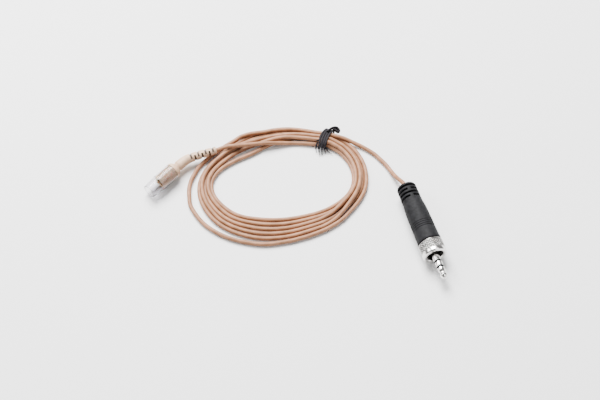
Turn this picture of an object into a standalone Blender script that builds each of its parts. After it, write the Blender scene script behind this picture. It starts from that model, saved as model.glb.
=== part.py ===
"""Detachable cable of a headset microphone: a locking 3.5 mm plug, a tied coil and a headset connector.

Sizes are in millimetres and are turned into metres by MM. The floor is z = 0. The origin is on the
floor, midway between the outer limits of the plug and the connector. Turned pieces are drawn as
(x, r) outlines along their own axis: +x runs to the jack's tip on the plug, and to the cord on the
connector.
"""
import math

import bmesh
import bpy
from mathutils import Matrix, Vector

MM = 0.001

# ---------------------------------------------------------------- driving dimensions
CORD_RADIUS = 1.0
CORD_STEP = 5.0                  # spacing of the points along a cord's centreline

PLUG_SEAT = (65.7, -25.1, 5.85)  # centre of the lock ring's front face
PLUG_TURN = -72.26               # degrees from +X to the jack's direction
BOOT_END = -40.1
BOOT_FRONT = -26.9
BOOT_BORE = 1.25
SLOT_ROWS = 4
SLOT_PITCH = 1.97
SLOT_WIDTH = 0.95
SLOT_CORE = 2.4                  # radius left uncut inside the boot's slots
SLOT_WEB = 20.0                  # degrees of rubber left between two slots of a row
JACK_RADIUS = 1.75
RING_RADIUS = 5.85
RING_BACK = -7.2
THREAD_RADIUS = 3.8
SHELL_FRONT = -7.5
SHELL_BACK = -26.6
SHELL_GROOVES = 4
GROOVE_PITCH = 1.07
GROOVE_FIRST = -17.6

CONNECTOR_FACE = (-63.65, 16.6, 3.98)  # centre of the connector's mating face
CONNECTOR_TURN = 48.0                  # degrees from +X to the connector's cord end
HOUSING_RADIUS = 3.35
CAP_FRONT = -6.8
CAP_BACK = 8.7
RELIEF_BORE = 1.2
NOTCHES = 7
NOTCH_PITCH = 1.83
NOTCH_WIDTH = 0.7
NOTCH_SPAN = 215.0               # degrees round the relief that each notch takes
NOTCH_FIRST = 12.3               # along the relief from its inner end to the first notch

COIL_CENTRE = (-4.65, 17.4)
TIE_ANGLE = 50.8                 # degrees round the coil
TIE_CENTRE = (16.45, 43.3, 2.66)
TIE_TURN = -20.0
TIE_LENGTH = 4.4
TIE_THICKNESS = 0.62
TIE_INNER = (4.6, 2.0)           # half width and half height of the opening
BUNDLE = (4.2, 1.5)              # half width and half height of the seven passes inside the tie

# The coil every 30 degrees, counter-clockwise from +X: inner radius, outer radius and height.
COIL_STATIONS = ((32.6, 40.3, 3.8), (32.8, 40.9, 3.8), (27.3, 35.4, 3.8), (23.9, 33.6, 3.9),
                 (23.8, 33.6, 4.6), (27.1, 34.0, 4.2), (32.9, 46.0, 3.8), (28.7, 44.4, 3.0),
                 (21.5, 37.8, 2.1), (18.7, 33.0, 2.1), (19.8, 32.0, 2.4), (25.5, 35.6, 3.2))

# Centrelines of the two free ends of the cord, outside the pieces that hold them.
PLUG_ROUTE = ((52.3, 15.6, 5.5), (50.1, 19.2, 4.2), (47.8, 23.6, 2.4), (44.9, 28.8, 1.3),
              (41.6, 32.8, 1.05), (38.9, 35.7, 1.05), (33.7, 39.4, 1.5), (29.3, 41.4, 2.4))
RELIEF_ROUTE = ((-53.25, 28.1, 3.98), (-50.85, 30.1, 4.05), (-47.9, 31.4, 4.2),
                (-44.0, 32.9, 4.3), (-40.1, 34.25, 4.3), (-37.1, 35.3, 4.3))
# Radius of the relief at places along it, from its end inside the housing.
RELIEF_RADII = ((0.0, 2.0), (3.7, 2.0), (4.7, 2.45), (10.0, 2.3), (13.0, 2.15), (24.0, 1.85))
CONNECTOR_ROUTE = ((-33.1, 36.85, 4.4),)

# Colour, roughness and metallic value of each kind of material.
FINISHES = {
    "nickel": ((0.78, 0.77, 0.74), 0.22, 1.0),
    "gold": ((0.90, 0.68, 0.30), 0.25, 1.0),
    "copper": ((0.80, 0.45, 0.28), 0.35, 1.0),
    "black_plastic": ((0.045, 0.045, 0.05), 0.45, 0.0),
    "black_rubber": ((0.04, 0.04, 0.043), 0.55, 0.0),
    "insulator": ((0.015, 0.015, 0.015), 0.4, 0.0),
    "cream": ((0.80, 0.66, 0.50), 0.5, 0.0),
    "clear": ((0.90, 0.90, 0.90), 0.25, 0.0),
    "tan_jacket": ((0.62, 0.45, 0.34), 0.5, 0.0),
    "black_ribbon": ((0.02, 0.02, 0.025), 0.7, 0.0),
}


# ---------------------------------------------------------------- helpers
def clear_scene():
    for old in list(bpy.data.objects):
        bpy.data.objects.remove(old, do_unlink=True)


def paint(obj, finish):
    colour, roughness, metallic = FINISHES[finish]
    material = bpy.data.materials.new(obj.name)
    material.use_nodes = True
    shader = material.node_tree.nodes["Principled BSDF"]
    shader.inputs["Base Color"].default_value = (*colour, 1.0)
    shader.inputs["Roughness"].default_value = roughness
    shader.inputs["Metallic"].default_value = metallic
    obj.data.materials.append(material)


def axis_empty(name, place, turn):
    empty = bpy.data.objects.new(name, None)
    empty.location = Vector(place) * MM
    empty.rotation_euler = (0, 0, math.radians(turn))
    bpy.context.collection.objects.link(empty)
    return empty


def add_mesh(name, points, faces, finish, parent=None):
    mesh = bpy.data.meshes.new(name)
    mesh.from_pydata([Vector(p) * MM for p in points], [], faces)
    shape = bmesh.new()
    shape.from_mesh(mesh)
    bmesh.ops.recalc_face_normals(shape, faces=shape.faces)
    shape.to_mesh(mesh)
    shape.free()
    mesh.shade_smooth()
    mesh.set_sharp_from_angle(angle=math.radians(35))
    obj = bpy.data.objects.new(name, mesh)
    obj.parent = parent
    bpy.context.collection.objects.link(obj)
    paint(obj, finish)
    return obj


def turned(name, outline, finish, parent, sides=24, sweep=360.0):
    """A solid turned about x. An outline that starts on the axis ends there; any other is a closed loop."""
    whole = sweep == 360.0
    spokes = sides if whole else sides + 1
    points, rings = [], []
    for x, r in outline:
        count = spokes if r > 0 else 1
        rings.append(list(range(len(points), len(points) + count)))
        for k in range(count):
            angle = math.radians(sweep * k / sides)
            points.append((x, r * math.cos(angle), r * math.sin(angle)))
    closed_loop = outline[0][1] > 0
    pairs = list(zip(rings, rings[1:]))
    if closed_loop:
        pairs.append((rings[-1], rings[0]))
    faces = []
    for a, b in pairs:
        for k in range(sides):
            n = (k + 1) % spokes
            corners = [a[k % len(a)], a[n % len(a)], b[n % len(b)], b[k % len(b)]]
            face = tuple(dict.fromkeys(corners))
            if len(face) > 2:
                faces.append(face)
    if not whole:
        faces.append(tuple(ring[0] for ring in rings))
        faces.append(tuple(ring[-1] for ring in rings))
    return add_mesh(name, points, faces, finish, parent)


def box_points(low, high):
    corners = [(x, y, z) for x in (low[0], high[0]) for y in (low[1], high[1]) for z in (low[2], high[2])]
    faces = [(0, 1, 3, 2), (4, 6, 7, 5), (0, 4, 5, 1), (2, 3, 7, 6), (0, 2, 6, 4), (1, 5, 7, 3)]
    return corners, faces


def smooth_route(knots, step):
    """Points every step along a Catmull-Rom curve through the knots."""
    knots = [Vector(k) for k in knots]
    padded = [2 * knots[0] - knots[1], *knots, 2 * knots[-1] - knots[-2]]
    fine = []
    for a, b, c, d in zip(padded, padded[1:], padded[2:], padded[3:]):
        for k in range(40):
            t = k / 40
            fine.append(0.5 * (2 * b + (c - a) * t + (2 * a - 5 * b + 4 * c - d) * t * t
                               + (3 * b - a - 3 * c + d) * t ** 3))
    fine.append(knots[-1])
    lengths = [0.0]
    for a, b in zip(fine, fine[1:]):
        lengths.append(lengths[-1] + (b - a).length)
    count = max(2, round(lengths[-1] / step))
    route, k = [], 0
    for n in range(count + 1):
        want = lengths[-1] * n / count
        while k < len(fine) - 2 and lengths[k + 1] < want:
            k += 1
        part = (want - lengths[k]) / (lengths[k + 1] - lengths[k])
        route.append(fine[k].lerp(fine[k + 1], part))
    return route


def tube(name, route, radius, finish):
    curve = bpy.data.curves.new(name, "CURVE")
    curve.dimensions = "3D"
    curve.bevel_depth = radius * MM
    curve.bevel_resolution = 2
    curve.use_fill_caps = True
    spline = curve.splines.new("POLY")
    spline.points.add(len(route) - 1)
    for point, place in zip(spline.points, route):
        point.co = (*(Vector(place) * MM), 1.0)
    obj = bpy.data.objects.new(name, curve)
    bpy.context.collection.objects.link(obj)
    paint(obj, finish)
    return obj


def on_axis(place, turn, x, y=0.0, z=0.0):
    """The world place of a point given in the plug's or the connector's own frame."""
    return Vector(place) + Matrix.Rotation(math.radians(turn), 3, "Z") @ Vector((x, y, z))


def cut(obj, cutter):
    cutter.hide_render = True
    cutter.display_type = "WIRE"
    modifier = obj.modifiers.new("cut", "BOOLEAN")
    modifier.operation = "DIFFERENCE"
    modifier.solver = "EXACT"
    modifier.object = cutter


def add_sector(points, faces, middle, along, outward, radii, width, span, steps=10):
    """Adds a curved block: part of a ring about the line along, centred on the direction outward."""
    sideways = along.cross(outward)
    base = len(points)
    for k in range(steps + 1):
        angle = math.radians(span * (k / steps - 0.5))
        spoke = outward * math.cos(angle) + sideways * math.sin(angle)
        for x, r in ((-width / 2, radii[0]), (width / 2, radii[0]), (width / 2, radii[1]), (-width / 2, radii[1])):
            points.append(middle + along * x + spoke * r)
    for k in range(steps):
        a = base + 4 * k
        for n in range(4):
            m = (n + 1) % 4
            faces.append((a + n, a + m, a + 4 + m, a + 4 + n))
    end = base + 4 * steps
    faces.append((base, base + 3, base + 2, base + 1))
    faces.append((end, end + 1, end + 2, end + 3))


# ---------------------------------------------------------------- the plug
def jack(axis):
    """The three poles, one inside the other, with their insulators between them."""
    turned("jack_tip", [(12.5, 0), (12.5, 0.45), (12.2, 0.95), (11.1, 1.65), (10.6, 1.72), (9.7, 1.36),
                        (9.2, 1.33), (8.4, 1.66), (7.9, JACK_RADIUS), (6.75, JACK_RADIUS), (6.75, 0.4),
                        (-9.6, 0.4), (-9.6, 0)], "nickel", axis)
    turned("tip_insulator", [(6.7, 0.45), (6.7, 1.68), (5.95, 1.68), (5.95, 0.75), (-8.2, 0.75),
                             (-8.2, 0.45)], "insulator", axis)
    turned("jack_ring", [(5.9, 0.8), (5.9, JACK_RADIUS), (3.65, JACK_RADIUS), (3.65, 1.05), (-7.0, 1.05),
                         (-7.0, 0.8)], "nickel", axis)
    turned("ring_insulator", [(3.6, 1.1), (3.6, 1.68), (2.85, 1.68), (2.85, 1.35), (-5.9, 1.35),
                              (-5.9, 1.1)], "insulator", axis)
    turned("jack_sleeve", [(2.8, 1.4), (2.8, JACK_RADIUS), (-1.9, JACK_RADIUS), (-1.9, 3.45), (-3.2, 3.45),
                           (-3.2, 2.6), (-11.0, 2.6), (-11.0, 2.0), (-4.5, 2.0), (-4.5, 1.4)],
           "nickel", axis)
    turned("rear_insulator", [(-4.6, 1.4), (-4.6, 1.95), (-6.3, 1.95), (-6.3, 1.4)], "insulator", axis)


def terminals(axis):
    """Where the conductors are soldered: a cup behind the tip's rod, a tag on the ring, a strip for the sleeve."""
    turned("tip_terminal", [(-9.7, 0), (-9.7, 0.8), (-12.6, 0.8), (-12.6, 0.5), (-11.0, 0.5), (-11.0, 0)],
           "gold", axis)
    turned("ring_terminal", [(-6.6, 1.1), (-6.6, 1.85), (-8.0, 1.85), (-8.0, 1.1)], "gold", axis)
    points, faces = box_points((-17.9, -1.1, -2.4), (-11.3, 1.1, -2.0))
    add_mesh("ground_terminal", points, faces, "gold", axis)
    turned("plug_ferrule", [(-18.8, 1.15), (-18.8, 1.5), (-21.8, 1.5), (-21.8, 1.15)], "copper", axis)


def plug_wires():
    signal = [(-18.2, 0, 0.3), (-16.6, 0.4, 0.5), (-14.6, 0.3, 0.3), (-12.8, 0, 0), (-11.2, 0, 0)]
    shield = [(-18.2, 0, -0.55), (-17.2, 0, -1.0), (-15.8, 0, -1.45), (-13.6, 0, -1.5)]
    for name, knots, radius, finish in (("plug_signal_wire", signal, 0.3, "tan_jacket"),
                                        ("plug_shield_wire", shield, 0.4, "copper")):
        places = [on_axis(PLUG_SEAT, PLUG_TURN, *knot) for knot in knots]
        tube(name, smooth_route(places, 0.9), radius, finish)


def lock_ring(axis):
    """The captive nut: knurled outside, threaded inside, held on the sleeve by a snap ring."""
    turned("lock_ring", [(RING_BACK, 3.3), (RING_BACK, 5.4), (-6.75, RING_RADIUS - 0.05),
                         (-6.4, RING_RADIUS), (-2.4, RING_RADIUS), (-2.3, 5.45), (-2.05, 5.45),
                         (-1.9, RING_RADIUS), (-0.7, RING_RADIUS), (-0.2, 5.55), (0, 5.0),
                         (0, 4.3), (-0.45, THREAD_RADIUS), (-5.4, THREAD_RADIUS), (-5.4, 4.2),
                         (-6.6, 4.2), (-6.6, 3.3)], "nickel", axis, sides=40)
    turned("lock_ring_clip", [(-5.7, 2.95), (-5.7, 4.0), (-6.3, 4.0), (-6.3, 2.95)], "nickel", axis,
           sides=30, sweep=330.0)


def plug_shell(axis):
    """The moulded body: a tube with a lip at the front, a rim, and fine grip grooves round its middle."""
    grooves = []
    for k in reversed(range(SHELL_GROOVES)):
        x = GROOVE_FIRST + k * GROOVE_PITCH
        grooves += [(x + 0.25, 5.45), (x + 0.1, 5.27), (x - 0.1, 5.27), (x - 0.25, 5.45)]
    turned("plug_shell", [(SHELL_FRONT, 2.9), (SHELL_FRONT, 5.45), (-7.7, 5.68), (-8.9, 5.68),
                          (-9.1, 5.58), *grooves, (-24.9, 5.26), (SHELL_BACK, 5.15), (SHELL_BACK, 4.2),
                          (-13.0, 4.2), (-13.0, 2.9)], "black_plastic", axis, sides=32)


def slot_cutter(axis):
    """Curved blocks that stand round the boot, two to a row, each row turned a quarter from the last."""
    points, faces = [], []
    for row in range(SLOT_ROWS):
        middle = Vector((BOOT_END + 1.9 + row * SLOT_PITCH, 0, 0))
        first = 90 if row % 2 == 0 else 0
        for centre in (first, first + 180):
            turn = math.radians(centre)
            outward = Vector((0, math.cos(turn), math.sin(turn)))
            add_sector(points, faces, middle, Vector((1, 0, 0)), outward, (SLOT_CORE, 6.0), SLOT_WIDTH,
                       180.0 - SLOT_WEB)
    return add_mesh("slot_cutter", points, faces, "black_rubber", axis)


def plug_boot(axis):
    boot = turned("plug_boot", [(-22.6, BOOT_BORE), (-22.6, 3.9), (BOOT_FRONT, 3.9), (BOOT_FRONT, 5.14),
                                (-27.8, 5.06), (-29.6, 4.82), (-31.0, 4.8), (-38.6, 4.7), (-39.6, 4.45),
                                (BOOT_END, 4.0), (BOOT_END, BOOT_BORE)], "black_rubber", axis, sides=32)
    cut(boot, slot_cutter(axis))


def plug():
    axis = axis_empty("plug_axis", PLUG_SEAT, PLUG_TURN)
    jack(axis)
    terminals(axis)
    plug_wires()
    lock_ring(axis)
    plug_shell(axis)
    plug_boot(axis)


# ---------------------------------------------------------------- the headset connector
def housing(axis):
    turned("connector_housing", [(0, 2.45), (0, 3.05), (0.3, HOUSING_RADIUS), (8.9, HOUSING_RADIUS),
                                 (8.95, 3.9), (9.6, 3.9), (10.4, 3.6), (11.1, 3.0), (11.6, 2.5),
                                 (11.6, 2.2), (8.0, 2.2), (8.0, 2.45)], "cream", axis, sides=32)


def contacts(axis):
    turned("shield_contact", [(0.3, 1.95), (0.3, 2.3), (5.0, 2.3), (5.0, 1.95)], "gold", axis)
    turned("contact_insert", [(3.4, 0.45), (3.4, 1.9), (4.5, 1.9), (4.5, 0.45)], "insulator", axis)
    turned("centre_contact", [(0.8, 0), (0.95, 0.3), (1.2, 0.4), (5.2, 0.4), (5.2, 0)], "gold", axis)
    turned("connector_ferrule", [(6.9, 1.15), (6.9, 1.5), (8.0, 1.5), (8.0, 1.15)], "copper", axis)


def connector_wires():
    for name, knots, radius in (("connector_signal_wire", [(5.3, 0, 0), (5.9, 0.1, 0.1), (6.6, 0.3, 0.3)], 0.25),
                                ("connector_shield_wire", [(5.2, 0, -1.9), (5.8, 0, -1.5), (6.6, 0, -0.6)], 0.3)):
        places = [on_axis(CONNECTOR_FACE, CONNECTOR_TURN, *knot) for knot in knots]
        tube(name, smooth_route(places, 0.5), radius, "copper")


def clear_cap(axis):
    """The clear sleeve that covers the housing and stands proud of its mating face."""
    turned("clear_cap", [(CAP_FRONT, 2.95), (CAP_FRONT, 3.3), (-6.6, 3.4), (-1.2, 3.8), (-0.2, 3.95),
                         (CAP_BACK, 3.98), (CAP_BACK, 3.6), (-0.5, 3.6), (-1.3, 3.42)],
           "clear", axis, sides=32)


def relief_knots():
    inner = [on_axis(CONNECTOR_FACE, CONNECTOR_TURN, x) for x in (8.3, 10.0, 12.0)]
    return inner + [Vector(k) for k in RELIEF_ROUTE]


def table_value(table, place):
    """The value at a place of a table of (place, value), straight between its rows and level past its ends."""
    for (x0, y0), (x1, y1) in zip(table, table[1:]):
        if place <= x1:
            return y0 + (y1 - y0) * max(0.0, place - x0) / (x1 - x0)
    return table[-1][1]


def side_vectors(along):
    """Across and up for a level path: a sideways vector and the vertical."""
    across = Vector((0, 0, 1)).cross(along).normalized()
    return across, Vector((0, 0, 1))


def notch_cutter(route):
    """Curved blocks across the relief, centred on its upper rear side and its lower front side in turn."""
    points, faces = [], []
    lengths = [0.0]
    for a, b in zip(route, route[1:]):
        lengths.append(lengths[-1] + (b - a).length)
    for n in range(NOTCHES):
        want = NOTCH_FIRST + n * NOTCH_PITCH
        k = max(i for i, length in enumerate(lengths[:-1]) if length <= want)
        along = (route[k + 1] - route[k]).normalized()
        middle = route[k] + along * (want - lengths[k])
        across, up = side_vectors(along)
        outward = (across * 0.84 + up * 0.54).normalized() * (1 if n % 2 == 0 else -1)
        add_sector(points, faces, middle, along, outward, (0.9, 4.0), NOTCH_WIDTH, NOTCH_SPAN)
    return add_mesh("notch_cutter", points, faces, "cream")


def strain_relief():
    """A round neck that bends out of the housing and runs on as the notched relief, bored for the cord."""
    route = smooth_route(relief_knots(), 0.9)
    sides, points, faces = 20, [], []
    last = len(route) - 1
    for k, place in enumerate(route):
        along = (route[min(k + 1, last)] - route[max(k - 1, 0)]).normalized()
        across, up = side_vectors(along)
        outer = table_value(RELIEF_RADII, 0.9 * k)
        if k == last:
            outer -= 0.15
        for radius in (outer, RELIEF_BORE):
            for n in range(sides):
                angle = 2 * math.pi * n / sides
                points.append(place + across * radius * math.cos(angle) + up * radius * math.sin(angle))
    ring = 2 * sides
    for k in range(last):
        for n in range(sides):
            m = (n + 1) % sides
            a, b = ring * k, ring * (k + 1)
            faces.append((a + n, a + m, b + m, b + n))
            faces.append((a + sides + n, b + sides + n, b + sides + m, a + sides + m))
    for base in (0, ring * last):
        for n in range(sides):
            m = (n + 1) % sides
            faces.append((base + n, base + sides + n, base + sides + m, base + m))
    relief = add_mesh("strain_relief", points, faces, "cream")
    cut(relief, notch_cutter(route))


def connector():
    axis = axis_empty("connector_axis", CONNECTOR_FACE, CONNECTOR_TURN)
    housing(axis)
    contacts(axis)
    connector_wires()
    clear_cap(axis)
    strain_relief()


# ---------------------------------------------------------------- the cord
def cord_to_plug():
    inside = [on_axis(PLUG_SEAT, PLUG_TURN, x) for x in (-18.5, -25.0, -32.0, -38.5)]
    tube("cord_to_plug", smooth_route(inside + [Vector(p) for p in PLUG_ROUTE], CORD_STEP),
         CORD_RADIUS, "tan_jacket")


def cord_to_connector():
    inside = [on_axis(CONNECTOR_FACE, CONNECTOR_TURN, x) for x in (6.7, 7.5)]
    knots = inside + relief_knots() + [Vector(p) for p in CONNECTOR_ROUTE]
    tube("cord_to_connector", smooth_route(knots, 2.2), CORD_RADIUS, "tan_jacket")


def coil_station(angle):
    """Inner radius, outer radius and height at an angle: a closed Catmull-Rom curve through COIL_STATIONS."""
    count = len(COIL_STATIONS)
    step = 360.0 / count
    k, t = int(angle // step), (angle % step) / step
    found = []
    for part in range(3):
        a, b, c, d = (COIL_STATIONS[(k + n) % count][part] for n in (-1, 0, 1, 2))
        found.append(0.5 * (2 * b + (c - a) * t + (2 * a - 5 * b + 4 * c - d) * t * t
                            + (3 * b - a - 3 * c + d) * t ** 3))
    return found


def coil_section(angle):
    """The coil's outline across its turns, drawn together under the tie, and flat where it lies."""
    inner, outer, tall = coil_station(angle)
    pinch = math.exp(-((angle - TIE_ANGLE) / 11.0) ** 2)
    tie_reach = math.dist(COIL_CENTRE, TIE_CENTRE[:2])
    tie_inner, tie_outer, _ = coil_station(TIE_ANGLE)
    reach = (inner + outer) / 2 + (tie_reach - (tie_inner + tie_outer) / 2) * pinch
    half_width = (outer - inner) / 2 * (1 - pinch) + BUNDLE[0] * pinch
    half_height = tall / 2 * (1 - pinch) + BUNDLE[1] * pinch
    height = tall / 2 * (1 - pinch) + TIE_CENTRE[2] * pinch
    section = []
    for n in range(12):
        turn = math.radians(30 * n + 15)
        squash = max(abs(math.cos(turn)), abs(math.sin(turn))) ** 0.7
        rise = 1.05 * math.sin(turn) / squash
        section.append((reach + half_width * math.cos(turn) / squash,
                        height + half_height * min(1.0, max(-1.0, rise))))
    return section


def cord_coil():
    stations, points, faces = 60, [], []
    for k in range(stations):
        angle = 360.0 * k / stations
        cosine, sine = math.cos(math.radians(angle)), math.sin(math.radians(angle))
        for reach, height in coil_section(angle):
            points.append((COIL_CENTRE[0] + reach * cosine, COIL_CENTRE[1] + reach * sine, height))
    for k in range(stations):
        a, b = 12 * k, 12 * ((k + 1) % stations)
        for n in range(12):
            m = (n + 1) % 12
            faces.append((a + n, b + n, b + m, a + m))
    add_mesh("cord_coil", points, faces, "tan_jacket")


def coil_tie():
    """A flat band that stands round the bundle, wider than it is high."""
    axis = axis_empty("tie_axis", TIE_CENTRE, TIE_TURN)
    sides, points, faces = 28, [], []
    loops = ((-TIE_LENGTH / 2, 0), (-TIE_LENGTH / 2, TIE_THICKNESS), (TIE_LENGTH / 2, TIE_THICKNESS),
             (TIE_LENGTH / 2, 0))
    for x, swell in loops:
        for k in range(sides):
            turn = 2 * math.pi * k / sides
            y = math.copysign(abs(math.cos(turn)) ** 0.6, math.cos(turn)) * (TIE_INNER[0] + swell)
            z = math.copysign(abs(math.sin(turn)) ** 0.6, math.sin(turn)) * (TIE_INNER[1] + swell)
            points.append((x, y, z))
    for n in range(4):
        a, b = sides * n, sides * ((n + 1) % 4)
        for k in range(sides):
            m = (k + 1) % sides
            faces.append((a + k, a + m, b + m, b + k))
    add_mesh("coil_tie", points, faces, "black_ribbon", axis)


def cord():
    cord_to_plug()
    cord_to_connector()
    cord_coil()
    coil_tie()


clear_scene()
plug()
connector()
cord()
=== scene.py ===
"""Looks for the headset microphone cable: cord, coil tie, plug and connector in their real materials.

Lengths are in millimetres until they reach Blender, where MM turns them into metres.
"""
import math

import bpy
import numpy as np
from mathutils import Matrix, Vector


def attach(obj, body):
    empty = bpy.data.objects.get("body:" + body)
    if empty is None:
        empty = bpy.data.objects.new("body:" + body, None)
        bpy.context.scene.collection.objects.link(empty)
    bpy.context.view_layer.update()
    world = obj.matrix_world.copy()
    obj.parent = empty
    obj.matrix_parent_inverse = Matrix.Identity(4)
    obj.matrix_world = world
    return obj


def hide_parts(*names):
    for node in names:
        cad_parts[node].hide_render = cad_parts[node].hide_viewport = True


MM = 0.001

# ---------------------------------------------------------------- places, the same as in the CAD
PLUG_SEAT = (65.7, -25.1, 5.85)
PLUG_TURN = -72.26
CONNECTOR_FACE = (-63.65, 16.6, 3.98)
CONNECTOR_TURN = 48.0
COIL_CENTRE = np.array((-4.65, 17.4))
TIE_CENTRE = np.array((16.45, 43.3, 2.66))
TIE_TURN = -20.0
CORD_RADIUS = 1.0

# ---------------------------------------------------------------- the cord's lie
SPACING = 1.25            # between the points of the finished centreline
LAYER = 1.78              # rise from one layer of turns to the next
TURNS = 6
TIE_ANGLE = 50.8          # degrees round the coil, counter-clockwise from +X
SLOT = 1.025              # spacing of the seven places inside the tie
PINNED = 2.6              # the tie holds the cord this far to either side of its middle
NEAR_TIE = 6.0            # and only what lies this near its centre
TIE_LIFT = 0.75           # how far the turns rise towards the tie
DIP = 3.5                 # how far the first turn keeps inwards of the rest, behind the relief
DIP_ANGLE = -223.0        # where it keeps furthest in, degrees round the coil
DIP_REACH = 27.0
IN_RELIEF = 28.0          # length of cord inside the connector and its relief
IN_PLUG = 24.0            # length of cord inside the plug
RELIEF_ROOM = 2.1         # the relief's radius, for the turns that rest on it
SETTLE_STEPS = 220
SINK = 0.012              # how far a turn sinks in a step
PULL_BACK = 0.02          # share of its sideways shift that a turn makes good in a step
CLEARANCE = 0.03          # least gap between turns that settle on each other
NEIGHBOUR_REACH = 5.0     # turns further apart than this are not compared

# Radius of the innermost and outermost turn's centreline every 30 degrees, counter-clockwise.
INNER = (33.6, 33.8, 28.3, 25.2, 25.8, 30.2, 35.0, 29.7, 22.5, 19.7, 20.8, 26.5)
OUTER = (39.3, 39.9, 34.4, 32.6, 32.6, 34.6, 39.8, 38.2, 33.3, 29.5, 28.9, 33.6)
# The last turn lies apart from the rest: its radius every 15 degrees from 330 down to 135.
STRAY = (34.6, 32.4, 31.2, 31.1, 32.0, 34.4, 36.8, 40.1, 43.4, 45.5, 44.9, 41.8, 37.4, 34.2)
# Where each turn lies across the coil, as a share of its width, and whether it is on the upper layer.
RIGHT = ((0, 0), (2 / 6, 0), (1 / 6, 1), (4 / 6, 0), (3 / 6, 1), (1, 0))
FRONT = ((0, 0), (0.25, 0), (0.5, 0), (0.75, 0), (1, 0), (1.2, 0))
LEFT = ((0, 0), (0.25, 1), (0.5, 0), (0.75, 1), (1, 0), (1.4, 0))
TOP = ((2 / 6, 0), (1 / 6, 1), (4 / 6, 0), (3 / 6, 1), (1, 0), (5 / 6, 1))
# The seven passes through the tie, as places across it from the coil's inner side.
TIE_PLACES = (0, 2, 1, 4, 3, 6, 5)

RELIEF_ROUTE = ((-53.25, 28.1, 3.98), (-50.85, 30.1, 4.05), (-47.9, 31.4, 4.2),
                (-44.0, 32.9, 4.3), (-40.1, 34.25, 4.3), (-37.1, 35.3, 4.3))
# Radius of the relief at places along it, from its end inside the housing.
RELIEF_RADII = ((0.0, 2.0), (3.7, 2.0), (4.7, 2.45), (10.0, 2.3), (13.0, 2.15), (24.0, 1.85))
CROSSING = ((-33.4, 36.8, 4.4), (-27.6, 37.8, 4.7), (-20.8, 39.1, 4.7), (-14.1, 40.4, 4.0),
            (-7.5, 41.3, 2.6), (-0.4, 41.9, 1.5), (6.0, 41.6, 1.4))
PLUG_ROUTE = ((52.3, 15.6, 5.5), (50.1, 19.2, 4.2), (47.8, 23.6, 2.4), (44.9, 28.8, 1.3),
              (41.6, 32.8, 1.05), (38.9, 35.7, 1.05), (33.7, 39.4, 1.5), (28.7, 41.6, 2.5),
              (24.3, 43.3, 3.2))

# ---------------------------------------------------------------- the pieces
THIN = 0.002              # least radius of a lathed surface, so that its end stays a ring
SHARP = 42.0              # degrees between faces from which their edge is crisp
PLUG_FRAME = (PLUG_SEAT, PLUG_TURN)
CONNECTOR_FRAME = (CONNECTOR_FACE, CONNECTOR_TURN)
KNURL_COUNT = 27          # diamonds round the ring
KNURL_PITCH = 1.35
KNURL_DEPTH = 0.34
KNURL_CUT = 0.3           # half width of a groove, as a share of the diamonds' spacing
THREAD_PITCH = 0.5
THREAD_DEPTH = 0.16
RING_SIDES = 288
SHELL_GROOVES = 4
GROOVE_PITCH = 1.07
GROOVE_FIRST = -17.6
SEAM = -26.7              # where the shell's surface runs into the boot's
SEAM_RADIUS = 5.145
BOOT_END = -40.1
BOOT_BACK = -38.6         # where the boot's taper gives way to its rounded end
SLOT_ROWS = 4
SLOT_FIRST = 1.9          # from the boot's end to the middle of the last row of slots
SLOT_PITCH = 1.97
SLOT_WIDTH = 1.0
SLOT_FLOOR = 2.5          # radius at the bottom of a slot
SLOT_WEB = 20.0           # degrees of rubber between two slots of a row
NOTCHES = 7
NOTCH_PITCH = 1.83
NOTCH_WIDTH = 0.85
NOTCH_SPAN = 215.0        # degrees round the relief that each notch takes
NOTCH_FIRST = 12.3
NOTCH_FACING = (0.54, 0.84)   # up and sideways, the way the first notch faces
NOTCH_FLOOR = 0.8         # radius in a notch as a share of the relief's
RELIEF_STEP = 0.1
RELIEF_SIDES = 48
RELIEF_TIP = (0.03, 0.1, 0.25, 0.5)   # how the last points round its end off
BAND_PLACES = (-1.62, -0.54, 0.54, 1.62)   # the tie's strips, along the cord
BAND_POINTS = 73
BUNDLE_WIDTH = 4.6        # half the width of the bundle inside the tie
BUNDLE_HEIGHT = 2.0
FIBRE = 0.07              # radius of a frayed fibre
# The tie's loose ends in its own frame: knots, half width and twist in degrees.
TIE_ENDS = (
    (((-3.2, -4.6, 1.6), (-3.4, -5.7, 0.6), (-3.2, -6.8, -0.9), (-2.5, -8.1, -2.2)), 0.45, 10),
    (((-2.0, -4.7, 1.5), (-1.9, -6.2, 0.5), (-1.4, -7.5, -1.0), (-0.5, -8.9, -2.2)), 0.52, 0),
    (((-1.0, -4.7, 1.3), (-0.5, -6.2, 0.2), (0.0, -7.5, -1.2), (0.6, -8.6, -2.2)), 0.45, -20),
    (((0.0, -4.7, 1.0), (0.8, -5.8, -0.3), (1.4, -6.5, -1.5), (1.7, -7.0, -2.2)), 0.42, 30),
    (((0.5, -4.7, -0.2), (2.2, -5.6, -1.3), (3.4, -6.1, -2.0), (4.9, -6.2, -2.2)), 0.38, 20),
    (((-2.8, -3.6, 2.3), (-3.6, -3.9, 1.9), (-4.1, -3.8, 1.6), (-4.6, -3.6, 1.3)), 0.4, 10),
)
TIE_TAIL = ((-0.6, 2.2, 2.75), (0.4, 4.2, 2.85), (1.7, 5.6, 2.7), (2.9, 6.1, 2.3), (4.1, 5.7, 1.8),
            (4.6, 4.9, 1.5), (3.9, 4.4, 1.7), (2.8, 4.7, 2.0), (1.4, 4.4, 2.4))
INNER_PARTS = {
    "insulator": ("rear_insulator", "contact_insert"),
    "gold": ("tip_terminal", "ring_terminal", "ground_terminal", "shield_contact", "centre_contact"),
    "copper": ("plug_ferrule", "plug_shield_wire", "connector_ferrule", "connector_signal_wire",
               "connector_shield_wire"),
    "nickel": ("lock_ring_clip",),
    "cord_jacket": ("plug_signal_wire",),
}

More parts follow.
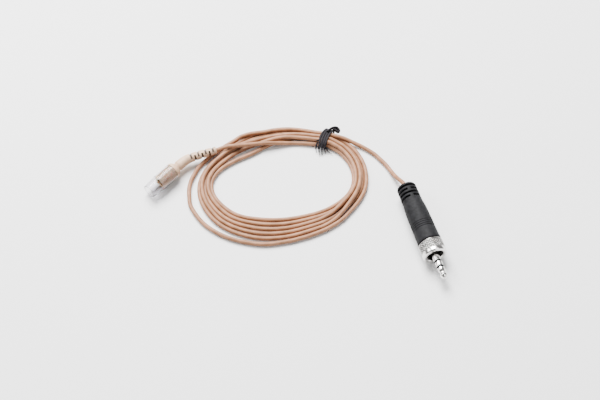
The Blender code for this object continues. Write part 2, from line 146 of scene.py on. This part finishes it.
# ---------------------------------------------------------------- camera and light, in metres
LENS = 90.0
SENSOR = 36.0
AIM = (3.35, 9.4, 0.0)    # millimetres
TILT = 57.0               # degrees that the camera looks down
DISTANCE = 0.714
FLOOR_HALF = 3
# Place, aim, size and power of each lamp.
LIGHTS = {
    "key": ((-0.2, 0.6, 0.85), (0, 0.01, 0), 0.75, 56.0),
    "fill": ((0.6, -0.4, 0.8), (0, 0, 0), 0.5, 3.0),
    "side": ((-0.7, 0.1, 0.6), (0, 0, 0), 0.4, 5.0),
}
WORLD_STRENGTH = 0.3

# ---------------------------------------------------------------- colours, linear
CORD_DARK = (0.240, 0.112, 0.056)
CORD_LIGHT = (0.335, 0.162, 0.087)
CREAM_DARK = (0.50, 0.32, 0.20)
CREAM_LIGHT = (0.62, 0.42, 0.28)
BLACKS = ((0.006, 0.006, 0.0065), (0.012, 0.012, 0.0135))
INSULATOR = ((0.002, 0.002, 0.002), (0.004, 0.004, 0.004))
NICKEL = ((0.62, 0.60, 0.58), (0.86, 0.84, 0.82))
# Painted shade for the lock ring's knurl grooves and bore: a dark grey that stands in for shadow, not
# nickel.
NICKEL_PAINTED_SHADE = ((0.012, 0.011, 0.010), (0.03, 0.028, 0.026))
GOLD = ((0.80, 0.55, 0.22), (0.95, 0.72, 0.35))
COPPER = ((0.70, 0.30, 0.16), (0.86, 0.44, 0.26))
# Painted shade for the floors of the relief's notches: a dark brown that stands in for shadow.
NOTCH_PAINTED_SHADE = ((0.035, 0.016, 0.008), (0.07, 0.035, 0.02))
SLEEVE = ((0.84, 0.825, 0.85), (0.91, 0.90, 0.92))
# The ribbon's black, and the lilac grey of a painted highlight on its crests.
RIBBON_AND_HIGHLIGHT = ((0.001, 0.0009, 0.001), (0.048, 0.042, 0.050))
FLOOR = ((0.84, 0.84, 0.84), (0.86, 0.86, 0.86))
MOULDED = {"Specular_IOR_Level": 0.12}
METAL = {"Metallic": 1.0}
# Each material's two colours, range of roughness, size of patches, size of grain and its relief.
FINISHES = {
    "cord_jacket": (((CORD_DARK, CORD_LIGHT), (0.36, 0.55), 3.0, 0.5, 0.03),
                    {"Specular_IOR_Level": 0.25}),
    "nickel": ((NICKEL, (0.10, 0.24), 1.2, 0.25, 0.01), METAL),
    "gold": ((GOLD, (0.18, 0.32), 1.5, 0.3, 0.01), METAL),
    "copper": ((COPPER, (0.25, 0.4), 1.0, 0.3, 0.02), METAL),
    "insulator": ((INSULATOR, (0.6, 0.75), 1.5, 0.3, 0.01), {"Specular_IOR_Level": 0.04}),
    "black_plastic": ((BLACKS, (0.55, 0.75), 1.4, 0.32, 0.05), MOULDED),
    "black_rubber": ((BLACKS, (0.55, 0.75), 1.4, 0.32, 0.05), MOULDED),
    "cream_plastic": (((CREAM_DARK, CREAM_LIGHT), (0.35, 0.5), 4.0, 0.6, 0.02),
                      {"Subsurface_Weight": 0.15, "Subsurface_Scale": 0.001}),
    "cream_rubber": (((CREAM_DARK, CREAM_LIGHT), (0.45, 0.6), 3.0, 0.4, 0.03), {}),
    "nickel_painted_shade": ((NICKEL_PAINTED_SHADE, (0.5, 0.65), 1.0, 0.25, 0.01), {"Specular_IOR_Level": 0.1}),
    "notch_painted_shade": ((NOTCH_PAINTED_SHADE, (0.6, 0.8), 1.0, 0.3, 0.02), {}),
    "clear_sleeve": ((SLEEVE, (0.16, 0.24), 3.0, 0.8, 0.004),
                     {"Transmission_Weight": 1.0, "IOR": 1.36, "Specular_IOR_Level": 0.25}),
}


# ---------------------------------------------------------------- helpers
def on_axis(place, turn, x, y=0.0, z=0.0):
    """The world place of a point given in the frame of a piece that stands at place, turned by turn."""
    return np.array(Vector(place) + Matrix.Rotation(math.radians(turn), 3, "Z") @ Vector((x, y, z)))


def smoothstep(low, high, value):
    """0 below low, 1 above high, and an eased rise between them."""
    t = min(1.0, max(0.0, (value - low) / (high - low)))
    return t * t * (3 - 2 * t)


def span_value(a, b, c, d, t):
    """The Catmull-Rom value at share t of the way from b to c."""
    return 0.5 * (2 * b + (c - a) * t + (2 * a - 5 * b + 4 * c - d) * t ** 2
                  + (3 * b - a - 3 * c + d) * t ** 3)


def catmull_rom(knots, per_span):
    """Points along a Catmull-Rom curve through the knots."""
    knots = np.asarray(knots, float)
    padded = np.vstack([2 * knots[0] - knots[1], knots, 2 * knots[-1] - knots[-2]])
    t = (np.arange(per_span) / per_span)[:, None]
    spans = [span_value(a, b, c, d, t) for a, b, c, d in zip(padded, padded[1:], padded[2:], padded[3:])]
    return np.vstack(spans + [knots[-1:]])


def even_points(points, spacing):
    """The same line with its points evenly spaced."""
    along = np.concatenate([[0], np.cumsum(np.linalg.norm(np.diff(points, axis=0), axis=1))])
    count = max(2, round(along[-1] / spacing))
    want = np.linspace(0, along[-1], count + 1)
    return np.column_stack([np.interp(want, along, points[:, k]) for k in range(3)])


def ring_value(table, angle):
    """A closed Catmull-Rom curve through values spaced evenly round the coil."""
    count = len(table)
    k, t = divmod(angle % 360.0 / (360.0 / count), 1.0)
    a, b, c, d = (table[(int(k) + n) % count] for n in (-1, 0, 1, 2))
    return span_value(a, b, c, d, t)


# ---------------------------------------------------------------- the cord
def tie_point(place):
    """Centre of one of the seven places inside the tie, lower and upper in turn across it."""
    offset = (place - 3) * SLOT
    rise = LAYER / 2 if place % 2 else -LAYER / 2
    return on_axis(TIE_CENTRE, TIE_TURN, 0.0, offset, rise)


def turn_point(turn, swept):
    """A point of one turn, swept degrees clockwise from the tie, before the turns have settled."""
    angle = TIE_ANGLE - swept
    to_front = smoothstep(55, 105, swept)
    to_left = smoothstep(185, 220, swept)
    to_top = smoothstep(245, 290, swept) if turn else smoothstep(300, 345, swept)
    share, layer = RIGHT[turn]
    for weight, places in ((to_front, FRONT), (to_left, LEFT), (to_top, TOP)):
        share += (places[turn][0] - share) * weight
        layer += (places[turn][1] - layer) * weight
    inner, outer = ring_value(INNER, angle), ring_value(OUTER, angle)
    radius = inner + share * (outer - inner)
    if turn == 0:
        radius -= DIP * math.exp(-(((angle - DIP_ANGLE) / DIP_REACH) ** 2))
    if turn == TURNS - 1:
        apart = smoothstep(70, 95, swept) * (1 - smoothstep(275, 305, swept))
        place = min(len(STRAY) - 1.001, max(0.0, (swept - (TIE_ANGLE + 30)) / 15.0))
        k = int(place)
        stray = STRAY[k] + (STRAY[k + 1] - STRAY[k]) * (place - k)
        radius += (stray - radius) * apart
    turned = math.radians(angle)
    near_tie = math.exp(-((min(swept, 360 - swept) / 14.0) ** 2))
    height = CORD_RADIUS + layer * LAYER + TIE_LIFT * near_tie
    return np.array((COIL_CENTRE[0] + radius * math.cos(turned),
                     COIL_CENTRE[1] + radius * math.sin(turned), height))


def cord_knots():
    """The whole cord in order: connector, crossing, six turns through the tie, plug."""
    knots = [on_axis(CONNECTOR_FACE, CONNECTOR_TURN, x) for x in (6.7, 8.3, 10.0, 12.0)]
    knots += [np.array(p) for p in RELIEF_ROUTE + CROSSING]
    for turn in range(TURNS):
        knots.append(tie_point(TIE_PLACES[turn]))
        knots += [turn_point(turn, swept) for swept in range(12, 354, 6)]
    knots.append(tie_point(TIE_PLACES[TURNS]))
    knots += [np.array(p) for p in reversed(PLUG_ROUTE)]
    knots += [on_axis(PLUG_SEAT, PLUG_TURN, x) for x in (-38.5, -32.0, -25.0, -18.5)]
    return knots


def close_pairs(points):
    """Pairs of points that lie near each other without being neighbours along the cord."""
    away = np.linalg.norm(points[:, None] - points[None, :], axis=2)
    first, second = np.nonzero(away < NEIGHBOUR_REACH)
    keep = second - first > 8
    return first[keep], second[keep]


def settle(points, radius, held):
    """Lets the turns come to rest: they part where they overlap, and sink until something holds them."""
    home = points.copy()
    loose = ~held
    for step in range(SETTLE_STEPS):
        if step % 10 == 0:
            first, second = close_pairs(points)
        between = points[first] - points[second]
        away = np.linalg.norm(between, axis=1)
        short = np.clip(radius[first] + radius[second] + CLEARANCE - away, 0, None)
        push = between * (0.3 * short / away)[:, None]
        move = np.zeros_like(points)
        np.add.at(move, first, push)
        np.add.at(move, second, -push)
        if step < SETTLE_STEPS - 40:
            move[:, 2] -= SINK
            move[:, :2] += PULL_BACK * (home - points)[:, :2]
        points[loose] += move[loose]
        points[:, 2] = np.maximum(points[:, 2], CORD_RADIUS)
        shift = points - home
        shift[1:-1] = 0.5 * shift[1:-1] + 0.25 * (shift[:-2] + shift[2:])
        shift[held] = 0
        points = home + shift
    return points


def cord_line():
    """The finished centreline, evenly spaced and settled on the table and on itself."""
    points = even_points(catmull_rom(cord_knots(), 12), SPACING)
    along = np.arange(len(points)) * SPACING
    inside_relief = along < IN_RELIEF
    inside_plug = along > along[-1] - IN_PLUG
    radius = np.where(inside_relief, RELIEF_ROOM, CORD_RADIUS)
    along_tie = on_axis((0, 0, 0), TIE_TURN, 1.0)
    near = np.linalg.norm(points - TIE_CENTRE, axis=1) < NEAR_TIE
    pinned = near & (np.abs((points - TIE_CENTRE) @ along_tie) < PINNED)
    return settle(points, radius, inside_relief | inside_plug | pinned)


def cord(material, going_with):
    """The whole cord as one round curve; going_with, the pieces that move with its far end, is not used.
    """
    line = cord_line()
    curve = bpy.data.curves.new("cord", "CURVE")
    curve.dimensions = "3D"
    curve.bevel_depth = CORD_RADIUS * MM
    curve.bevel_resolution = 4
    curve.use_fill_caps = True
    spline = curve.splines.new("POLY")
    spline.points.add(len(line) - 1)
    for point, place in zip(spline.points, line):
        point.co = (*(place * MM), 1.0)
    spline.use_smooth = True
    piece = bpy.data.objects.new("cord", curve)
    bpy.context.collection.objects.link(piece)
    curve.materials.append(material)
    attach(piece, "cable")
    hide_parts("cord_to_connector", "cord_coil", "cord_to_plug")


# ---------------------------------------------------------------- materials
def add_node(tree, kind, **inputs):
    node = tree.nodes.new("ShaderNode" + kind)
    for name, value in inputs.items():
        node.inputs[name.replace("_", " ")].default_value = value
    return node


def ramp_between(tree, source, low, high, first, second):
    """A colour ramp driven by source: first up to low, second from high."""
    ramp = tree.nodes.new("ShaderNodeValToRGB")
    for element, place, colour in zip(ramp.color_ramp.elements, (low, high), (first, second)):
        element.position = place
        element.color = (*colour, 1.0)
    tree.links.new(source, ramp.inputs["Fac"])
    return ramp.outputs["Color"]


def add_bump(tree, shader, source, strength, height):
    bump = add_node(tree, "Bump", Strength=strength, Distance=height * MM)
    tree.links.new(source, bump.inputs["Height"])
    tree.links.new(bump.outputs["Normal"], shader.inputs["Normal"])


def new_material(name):
    material = bpy.data.materials.new(name)
    material.use_nodes = True
    tree = material.node_tree
    return material, tree, tree.nodes["Principled BSDF"]


def mottled(name, colours, roughness, patch, grain, relief, **settings):
    """A material whose colour drifts over patches and whose surface has a fine grain.

    The sizes of the patches, the grain and its relief are in millimetres.
    """
    material, tree, shader = new_material(name)
    for socket, value in settings.items():
        shader.inputs[socket.replace("_", " ")].default_value = value
    place = tree.nodes.new("ShaderNodeTexCoord").outputs["Object"]
    patches = add_node(tree, "TexNoise", Scale=1 / (patch * MM), Detail=3.0)
    grains = add_node(tree, "TexNoise", Scale=1 / (grain * MM), Detail=2.0)
    span = tree.nodes.new("ShaderNodeMapRange")
    span.inputs["To Min"].default_value = roughness[0]
    span.inputs["To Max"].default_value = roughness[1]
    for node in (patches, grains):
        tree.links.new(place, node.inputs["Vector"])
    colour = ramp_between(tree, patches.outputs["Fac"], 0.35, 0.65, *colours)
    tree.links.new(colour, shader.inputs["Base Color"])
    tree.links.new(grains.outputs["Fac"], span.inputs["Value"])
    tree.links.new(span.outputs["Result"], shader.inputs["Roughness"])
    add_bump(tree, shader, grains.outputs["Fac"], 0.6, relief)
    return material


def woven(name, colours):
    """Plaited ribbon: slanting ribs that follow the strip, with a painted highlight of lighter colour on
    their crests.
    """
    material, tree, shader = new_material(name)
    shader.inputs["Specular IOR Level"].default_value = 0.1
    shader.inputs["Roughness"].default_value = 0.6
    place = tree.nodes.new("ShaderNodeTexCoord").outputs["UV"]
    ribs = add_node(tree, "TexWave", Scale=1.0, Distortion=0.6, Detail=1.0)
    ribs.bands_direction = "DIAGONAL"
    tree.links.new(place, ribs.inputs["Vector"])
    # The crests take the light colour, a painted highlight.
    colour = ramp_between(tree, ribs.outputs["Fac"], 0.35, 0.95, *colours)
    tree.links.new(colour, shader.inputs["Base Color"])
    add_bump(tree, shader, ribs.outputs["Fac"], 0.8, 0.12)
    return material


def finishes():
    """Every material of the object, by the record's slot names and two more that paint shade into
    hollows.
    """
    finish = {name: mottled(name, *rest, **settings) for name, (rest, settings) in FINISHES.items()}
    finish["ribbon"] = woven("ribbon", RIBBON_AND_HIGHLIGHT)
    return finish


# ---------------------------------------------------------------- surfaces
def rounded(profile, reach=0.12):
    """The profile with its corners eased over the given reach."""
    eased = [np.array(profile[0], float)]
    for before, corner, after in zip(profile, profile[1:], profile[2:]):
        ends = []
        for other in (before, after):
            away = np.subtract(other, corner)
            size = np.linalg.norm(away)
            ends.append(corner + away * min(reach, 0.4 * size) / size)
        for t in (0.0, 0.33, 0.67, 1.0):
            eased.append((1 - t) ** 2 * ends[0] + 2 * t * (1 - t) * np.array(corner) + t * t * ends[1])
    eased.append(np.array(profile[-1], float))
    return eased


def refined(profile, step):
    """The profile with no two points further apart than step."""
    fine = [profile[0]]
    for a, b in zip(profile, profile[1:]):
        parts = max(1, math.ceil(np.linalg.norm(b - a) / step))
        fine += [a + (b - a) * (k + 1) / parts for k in range(parts)]
    return fine


def skin(name, parts, materials, dark=None):
    """One object from several surfaces, each a grid of points whose rows close on themselves.

    dark(row, column) may give a face the second material.
    """
    points, faces, indices, places = [], [], [], []
    for grid in parts:
        rows, sides = grid.shape[:2]
        base = len(points)
        points += (grid.reshape(-1, 3) * MM).tolist()
        along = np.concatenate([[0], np.cumsum(np.linalg.norm(np.diff(grid[:, 0], axis=0), axis=1))])
        for i in range(rows - 1):
            for j in range(sides):
                k = (j + 1) % sides
                a, b = base + i * sides, base + (i + 1) * sides
                faces.append((a + j, a + k, b + k, b + j))
                indices.append(int(bool(dark and dark(i, j))))
                u, v = j / sides * 4, (j + 1) / sides * 4
                places += [u, along[i], v, along[i], v, along[i + 1], u, along[i + 1]]
    mesh = bpy.data.meshes.new(name)
    mesh.from_pydata(points, [], faces)
    mesh.uv_layers.new(name="lie").data.foreach_set("uv", places)
    for material in materials:
        mesh.materials.append(material)
    mesh.polygons.foreach_set("material_index", indices)
    mesh.polygons.foreach_set("use_smooth", [True] * len(faces))
    mesh.set_sharp_from_angle(angle=math.radians(SHARP))
    piece = bpy.data.objects.new(name, mesh)
    bpy.context.collection.objects.link(piece)
    return piece


def lathe_grid(frame, profile, sides=72, shape=None):
    """Points of a turned surface about the x axis of frame = (place, turn)."""
    angles = 2 * math.pi * np.arange(sides) / sides
    rows = []
    for x, r in profile:
        radius = np.full(sides, max(r, THIN))
        if shape:
            radius = shape(x, angles, radius)
        ring = (np.full(sides, x), radius * np.cos(angles), radius * np.sin(angles))
        rows.append(np.column_stack(ring))
    turned = np.array(Matrix.Rotation(math.radians(frame[1]), 3, "Z"))
    return np.array(rows) @ turned.T + np.array(frame[0])


def placed(piece, body, slot, *nodes):
    """Ties a finished piece to its CAD body and hides the nodes it stands for; slot is not used."""
    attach(piece, body)
    if nodes:
        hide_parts(*nodes)
    return piece


def turned_piece(node, frame, profile, body, slot, finish, **options):
    """A lathed piece that stands for the CAD node of its name."""
    grid = lathe_grid(frame, rounded(profile), **options)
    return placed(skin(node + "_look", [grid], [finish[slot]]), body, slot, node)


def signed_power(values, power):
    return np.sign(values) * np.abs(values) ** power


def sweep_grid(path, across, half_width, half_thick, sides=14, power=0.75):
    """Points of a flat strip along a path: across is its width direction at each point."""
    path, across = np.asarray(path, float), np.asarray(across, float)
    along = np.gradient(path, axis=0)
    along /= np.linalg.norm(along, axis=1)[:, None]
    across = across - (across * along).sum(axis=1)[:, None] * along
    across /= np.linalg.norm(across, axis=1)[:, None]
    normal = np.cross(along, across)
    angles = 2 * math.pi * np.arange(sides) / sides
    wide = signed_power(np.cos(angles), power)
    thick = signed_power(np.sin(angles), power)
    half_width = np.broadcast_to(half_width, len(path))
    half_thick = np.broadcast_to(half_thick, len(path))
    return (path[:, None] + across[:, None] * (half_width[:, None] * wide)[:, :, None]
            + normal[:, None] * (half_thick[:, None] * thick)[:, :, None])


# ---------------------------------------------------------------- the plug
def knurl_and_thread(x, angles, radius):
    """Diamond knurling on the ring's rear part and a thread in its bore."""
    turns = angles / (2 * math.pi)
    if radius[0] > 5.6 and -6.6 < x < -2.4:
        cut = np.zeros_like(angles)
        for lean in (1, -1):
            phase = turns * KNURL_COUNT + lean * x / KNURL_PITCH
            away = np.abs(phase - np.round(phase))
            cut = np.maximum(cut, np.clip(1 - away / KNURL_CUT, 0, 1))
        return radius - KNURL_DEPTH * cut
    if radius[0] < 3.85 and -5.4 < x < -0.45:
        phase = turns + x / THREAD_PITCH
        return radius + THREAD_DEPTH * np.abs(2 * (phase - np.round(phase)))
    return radius


def lock_ring(finish):
    """The knurled nut, with painted shade in the knurl's grooves and in the bore."""
    profile = [(-7.2, 3.3), (-7.2, 5.4), (-6.75, 5.8), (-6.4, 5.82), (-2.5, 5.82), (-2.35, 5.45),
               (-2.05, 5.45), (-1.9, 5.85), (-0.7, 5.85), (-0.2, 5.55), (0, 5.0), (0, 4.3), (-0.45, 3.8),
               (-5.4, 3.8), (-5.4, 4.2), (-6.6, 4.2), (-6.6, 3.3), (-7.2, 3.3)]
    outline = refined(rounded(profile, 0.1), 0.12)
    angles = 2 * math.pi * (np.arange(RING_SIDES) + 0.5) / RING_SIDES

    # Faces in the knurl's grooves and in the bore get the painted shade.
    def hollow(x, r):
        if r > 5.6:
            return knurl_and_thread(x, angles, np.full(RING_SIDES, r)) < r - 0.12
        return np.full(RING_SIDES, r < 4.0)

    sunk = [hollow(*(a + b) / 2) for a, b in zip(outline, outline[1:])]
    grid = lathe_grid(PLUG_FRAME, outline, RING_SIDES, knurl_and_thread)
    materials = [finish["nickel"], finish["nickel_painted_shade"]]
    piece = skin("lock_ring_look", [grid], materials, lambda i, j: sunk[i][j])
    placed(piece, "ring", "nickel", "lock_ring")


def jack(finish):
    """The three poles and the two collars between them."""
    poles = {
        "jack_tip": ("nickel", [(12.5, 0), (12.5, 0.45), (12.2, 0.95), (11.1, 1.65), (10.6, 1.72),
                                (9.7, 1.36), (9.2, 1.33), (8.4, 1.66), (7.9, 1.75), (6.75, 1.75),
                                (6.75, 0.4), (-9.6, 0.4), (-9.6, 0)]),
        "tip_insulator": ("insulator", [(6.7, 0.45), (6.7, 1.77), (5.95, 1.77), (5.95, 0.75),
                                        (-8.2, 0.75), (-8.2, 0.45)]),
        "jack_ring": ("nickel", [(5.9, 0.8), (5.9, 1.75), (3.65, 1.75), (3.65, 1.05), (-7.0, 1.05),
                                 (-7.0, 0.8)]),
        "ring_insulator": ("insulator", [(3.6, 1.1), (3.6, 1.77), (2.85, 1.77), (2.85, 1.35),
                                         (-5.9, 1.35), (-5.9, 1.1)]),
        "jack_sleeve": ("nickel", [(2.8, 1.4), (2.8, 1.75), (-1.9, 1.75), (-1.9, 3.45), (-3.2, 3.45),
                                   (-3.2, 2.6), (-11.0, 2.6), (-11.0, 2.0)]),
    }
    return [turned_piece(node, PLUG_FRAME, profile, "cable", slot, finish)
            for node, (slot, profile) in poles.items()]


def shell(finish):
    """The moulded body down to where it runs into the boot, with its rim and grip grooves."""
    grooves = []
    for k in reversed(range(SHELL_GROOVES)):
        x = GROOVE_FIRST + k * GROOVE_PITCH
        grooves += [(x + 0.28, 5.46), (x + 0.1, 5.26), (x - 0.1, 5.26), (x - 0.28, 5.45)]
    profile = [(-7.5, 2.9), (-7.5, 5.45), (-7.7, 5.68), (-8.9, 5.68), (-9.1, 5.58), *grooves,
               (-24.9, 5.26), (SEAM, SEAM_RADIUS)]
    return turned_piece("plug_shell", PLUG_FRAME, profile, "cable", "black_plastic", finish, sides=128)


def slotted(x, angles, radius):
    """Four rows of slots round the boot, two to a row, each row turned a quarter from the last."""
    if radius[0] < 4.0:
        return radius
    for row in range(SLOT_ROWS):
        away = abs(x - (BOOT_END + SLOT_FIRST + row * SLOT_PITCH))
        if away < SLOT_WIDTH / 2 + 0.15:
            turn = math.pi / 2 if row % 2 else 0.0
            webs = np.abs(np.sin(angles - turn)) < math.sin(math.radians(SLOT_WEB / 2))
            sunk = SLOT_FLOOR if away < SLOT_WIDTH / 2 else radius[0] - 0.07
            return np.where(webs, radius, sunk)
    return radius


def boot(finish):
    """The slotted boot, bored for the cord."""
    outline = [(SEAM, SEAM_RADIUS), (-27.8, 5.06), (-29.6, 4.82), (-31.0, 4.8), (BOOT_BACK, 4.7),
               (-39.6, 4.45), (BOOT_END, 4.0), (BOOT_END, 1.05), (BOOT_BACK, 1.05)]
    profile = refined(rounded(outline, 0.35), 0.5)
    for row in range(SLOT_ROWS):
        middle = BOOT_END + SLOT_FIRST + row * SLOT_PITCH
        for side in (-1, 1):
            for reach in (0.0, 0.02, 0.13, 0.17):
                x = middle + side * (SLOT_WIDTH / 2 + reach - 0.01)
                profile.append(np.array((x, np.interp(x, (BOOT_BACK, -31.0), (4.7, 4.8)))))
    outer = sorted((p for p in profile if p[1] > 3.9), key=lambda p: -p[0])
    grid = lathe_grid(PLUG_FRAME, outer + [p for p in profile if p[1] <= 3.9], 160, slotted)
    piece = skin("plug_boot_look", [grid], [finish["black_rubber"]])
    return placed(piece, "cable", "black_rubber", "plug_boot")


# ---------------------------------------------------------------- the headset connector
def housing(finish):
    profile = [(0, 2.45), (0, 3.05), (0.3, 3.35), (8.9, 3.35), (8.95, 3.9), (9.6, 3.9), (10.4, 3.6),
               (11.1, 3.0), (11.6, 2.5), (11.6, 2.2), (8.0, 2.2), (8.0, 2.45), (0, 2.45)]
    turned_piece("connector_housing", CONNECTOR_FRAME, profile, "cable", "cream_plastic", finish)


def clear_cap(finish):
    profile = [(-6.8, 2.95), (-6.8, 3.3), (-6.6, 3.4), (-1.2, 3.8), (-0.2, 3.95), (8.7, 3.98),
               (8.7, 3.6), (-0.5, 3.6), (-1.3, 3.42), (-6.8, 2.95)]
    turned_piece("clear_cap", CONNECTOR_FRAME, profile, "cap", "clear_sleeve", finish)


def relief(finish):
    """The round neck and the notched relief, with painted shade on the notches' floors."""
    inner = [on_axis(CONNECTOR_FACE, CONNECTOR_TURN, x) for x in (8.3, 10.0, 12.0)]
    path = even_points(catmull_rom(inner + [np.array(p) for p in RELIEF_ROUTE], 60), RELIEF_STEP)
    along = np.gradient(path, axis=0)
    along /= np.linalg.norm(along, axis=1)[:, None]
    across = np.cross((0, 0, 1), along)
    across /= np.linalg.norm(across, axis=1)[:, None]
    upward = np.cross(along, across)
    travel = np.arange(len(path)) * RELIEF_STEP
    angles = 2 * math.pi * np.arange(RELIEF_SIDES) / RELIEF_SIDES
    centre = math.atan2(*NOTCH_FACING)
    radii = np.repeat(np.interp(travel, *zip(*RELIEF_RADII))[:, None], RELIEF_SIDES, axis=1)
    radii[-4:] -= np.array(RELIEF_TIP)[:, None]
    sunk = np.zeros(radii.shape, bool)
    for n in range(NOTCHES):
        row = np.abs(travel - (NOTCH_FIRST + n * NOTCH_PITCH)) < NOTCH_WIDTH / 2
        facing = np.cos(angles - centre - math.pi * (n % 2)) > math.cos(math.radians(NOTCH_SPAN / 2))
        sunk |= row[:, None] & facing[None, :]
    radii[sunk] *= NOTCH_FLOOR
    spokes = (across[:, None] * np.cos(angles)[None, :, None]
              + upward[:, None] * np.sin(angles)[None, :, None])
    grid = path[:, None] + spokes * radii[:, :, None]

    # Faces at a notch get the painted shade.
    def in_notch(i, j):
        k = (j + 1) % RELIEF_SIDES
        return sunk[i, j] or sunk[i + 1, j] or sunk[i, k] or sunk[i + 1, k]

    piece = skin("strain_relief_look", [grid], [finish["cream_rubber"], finish["notch_painted_shade"]], in_notch)
    placed(piece, "cable", "cream_rubber", "strain_relief")


# ---------------------------------------------------------------- the tie
def in_tie(points):
    """Points given in the tie's own frame: along the cord, across it and up."""
    return np.array([on_axis(TIE_CENTRE, TIE_TURN, *p) for p in points])


def tie_bands():
    """Four narrow strips side by side round the bundle, leaning towards the coil's front left."""
    bands = []
    turns = np.linspace(0, 2 * math.pi, BAND_POINTS)
    for k, shift in enumerate(BAND_PLACES):
        away = 0.3 + 0.05 * (k % 2)
        across = BUNDLE_WIDTH * signed_power(np.cos(turns), 0.6) + away * np.cos(turns)
        rise = BUNDLE_HEIGHT * signed_power(np.sin(turns), 0.6) + away * np.sin(turns)
        drift = shift - 1.1 + 0.08 * across + 0.035 * across ** 2 + 0.08 * np.sin(3 * turns + k)
        path = in_tie(np.column_stack([drift, across, rise]))
        sideways = np.tile(on_axis((0, 0, 0), TIE_TURN, 1.0), (BAND_POINTS, 1))
        bands.append(sweep_grid(path, sideways, 0.49, 0.33))
    return bands


def tapered(knots, width, thick, twist, blunt=0.35):
    """A strip along a curve through the knots that narrows to a point, turned by twist degrees."""
    path = in_tie(even_points(catmull_rom(knots, 10), 0.2))
    share = np.linspace(0, 1, len(path))
    narrow = np.maximum(blunt, 1 - share ** 2.5)
    lean = math.radians(twist)
    sideways = on_axis((0, 0, 0), TIE_TURN, math.cos(lean), 0.0, math.sin(lean))
    return sweep_grid(path, np.tile(sideways, (len(path), 1)), width * narrow, thick * narrow)


def tie_ends():
    """The loose ends at the front with a frayed fibre each, and the strip's folded tail at the back."""
    ends = [tapered(knots, width, 0.25, twist) for knots, width, twist in TIE_ENDS]
    tail = in_tie(even_points(catmull_rom(TIE_TAIL, 12), 0.25))
    ends.append(sweep_grid(tail, np.tile((0.25, 0.1, 1.0), (len(tail), 1)), 0.9, 0.45))
    rng = np.random.default_rng(7)
    for knots, _, _ in TIE_ENDS:
        before, tip = np.array(knots[-2:])
        splay = rng.normal(0, 0.5, 3)
        splay[2] = abs(splay[2]) * 0.4
        end = tip + (tip - before) * rng.uniform(0.1, 0.5) + splay
        end[2] = max(end[2], 0.15 - TIE_CENTRE[2])
        fibre = [before * 0.4 + tip * 0.6, (tip + end) / 2 + splay * 0.2, end]
        ends.append(tapered(fibre, FIBRE, FIBRE, 0, 0.3))
    return ends


def tie(finish):
    piece = skin("coil_tie_look", tie_bands() + tie_ends(), [finish["ribbon"]])
    return placed(piece, "cable", "ribbon", "coil_tie")


def dress_inner_parts(finish):
    """Gives the CAD's own small inner pieces their materials; their shapes stay as they are."""
    for slot, names in INNER_PARTS.items():
        for name in names:
            mesh = frame["nodes"][name].data
            mesh.materials.clear()
            mesh.materials.append(finish[slot])


# ---------------------------------------------------------------- camera, floor and light
def camera():
    data = bpy.data.cameras.new("camera")
    data.lens = LENS
    data.sensor_width = SENSOR
    data.clip_start = 0.01
    eye = bpy.data.objects.new("camera", data)
    bpy.context.collection.objects.link(eye)
    tilt = math.radians(TILT)
    eye.location = Vector(AIM) * MM + DISTANCE * Vector((0, -math.cos(tilt), math.sin(tilt)))
    eye.rotation_euler = (math.radians(90.0) - tilt, 0, 0)
    bpy.context.scene.camera = eye


def light(name, place, aim, size, power):
    """A round soft lamp at place, turned towards aim."""
    data = bpy.data.lights.new(name, "AREA")
    data.shape = "DISK"
    data.size = size
    data.energy = power
    lamp = bpy.data.objects.new(name, data)
    bpy.context.collection.objects.link(lamp)
    lamp.location = place
    lamp.rotation_euler = (Vector(aim) - Vector(place)).to_track_quat("-Z", "Y").to_euler()


def studio():
    """The pale floor, the lamps and an even pale surrounding."""
    mesh = bpy.data.meshes.new("floor")
    corners = [(x * FLOOR_HALF, y * FLOOR_HALF, 0) for x, y in ((-1, -1), (1, -1), (1, 1), (-1, 1))]
    mesh.from_pydata(corners, [], [(0, 1, 2, 3)])
    floor = bpy.data.objects.new("floor", mesh)
    bpy.context.collection.objects.link(floor)
    floor.location = (0, 0, -0.0002)
    mesh.materials.append(mottled("floor", FLOOR, (0.85, 0.95), 200, 4, 0.01))
    for name, settings in LIGHTS.items():
        light(name, *settings)
    world = bpy.data.worlds.new("world")
    world.use_nodes = True
    sky = world.node_tree.nodes["Background"]
    sky.inputs["Color"].default_value = (1, 1, 1, 1)
    sky.inputs["Strength"].default_value = WORLD_STRENGTH
    bpy.context.scene.world = world


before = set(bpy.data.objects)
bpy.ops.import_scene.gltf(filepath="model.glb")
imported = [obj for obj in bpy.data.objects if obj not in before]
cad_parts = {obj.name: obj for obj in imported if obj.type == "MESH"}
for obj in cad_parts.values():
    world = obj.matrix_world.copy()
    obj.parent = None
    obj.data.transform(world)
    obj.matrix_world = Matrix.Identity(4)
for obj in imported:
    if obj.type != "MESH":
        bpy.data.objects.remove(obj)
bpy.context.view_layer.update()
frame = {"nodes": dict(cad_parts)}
camera()
studio()
finish = finishes()
lock_ring(finish)
housing(finish)
clear_cap(finish)
relief(finish)
dress_inner_parts(finish)
cord(finish["cord_jacket"], [*jack(finish), shell(finish), boot(finish), tie(finish)])
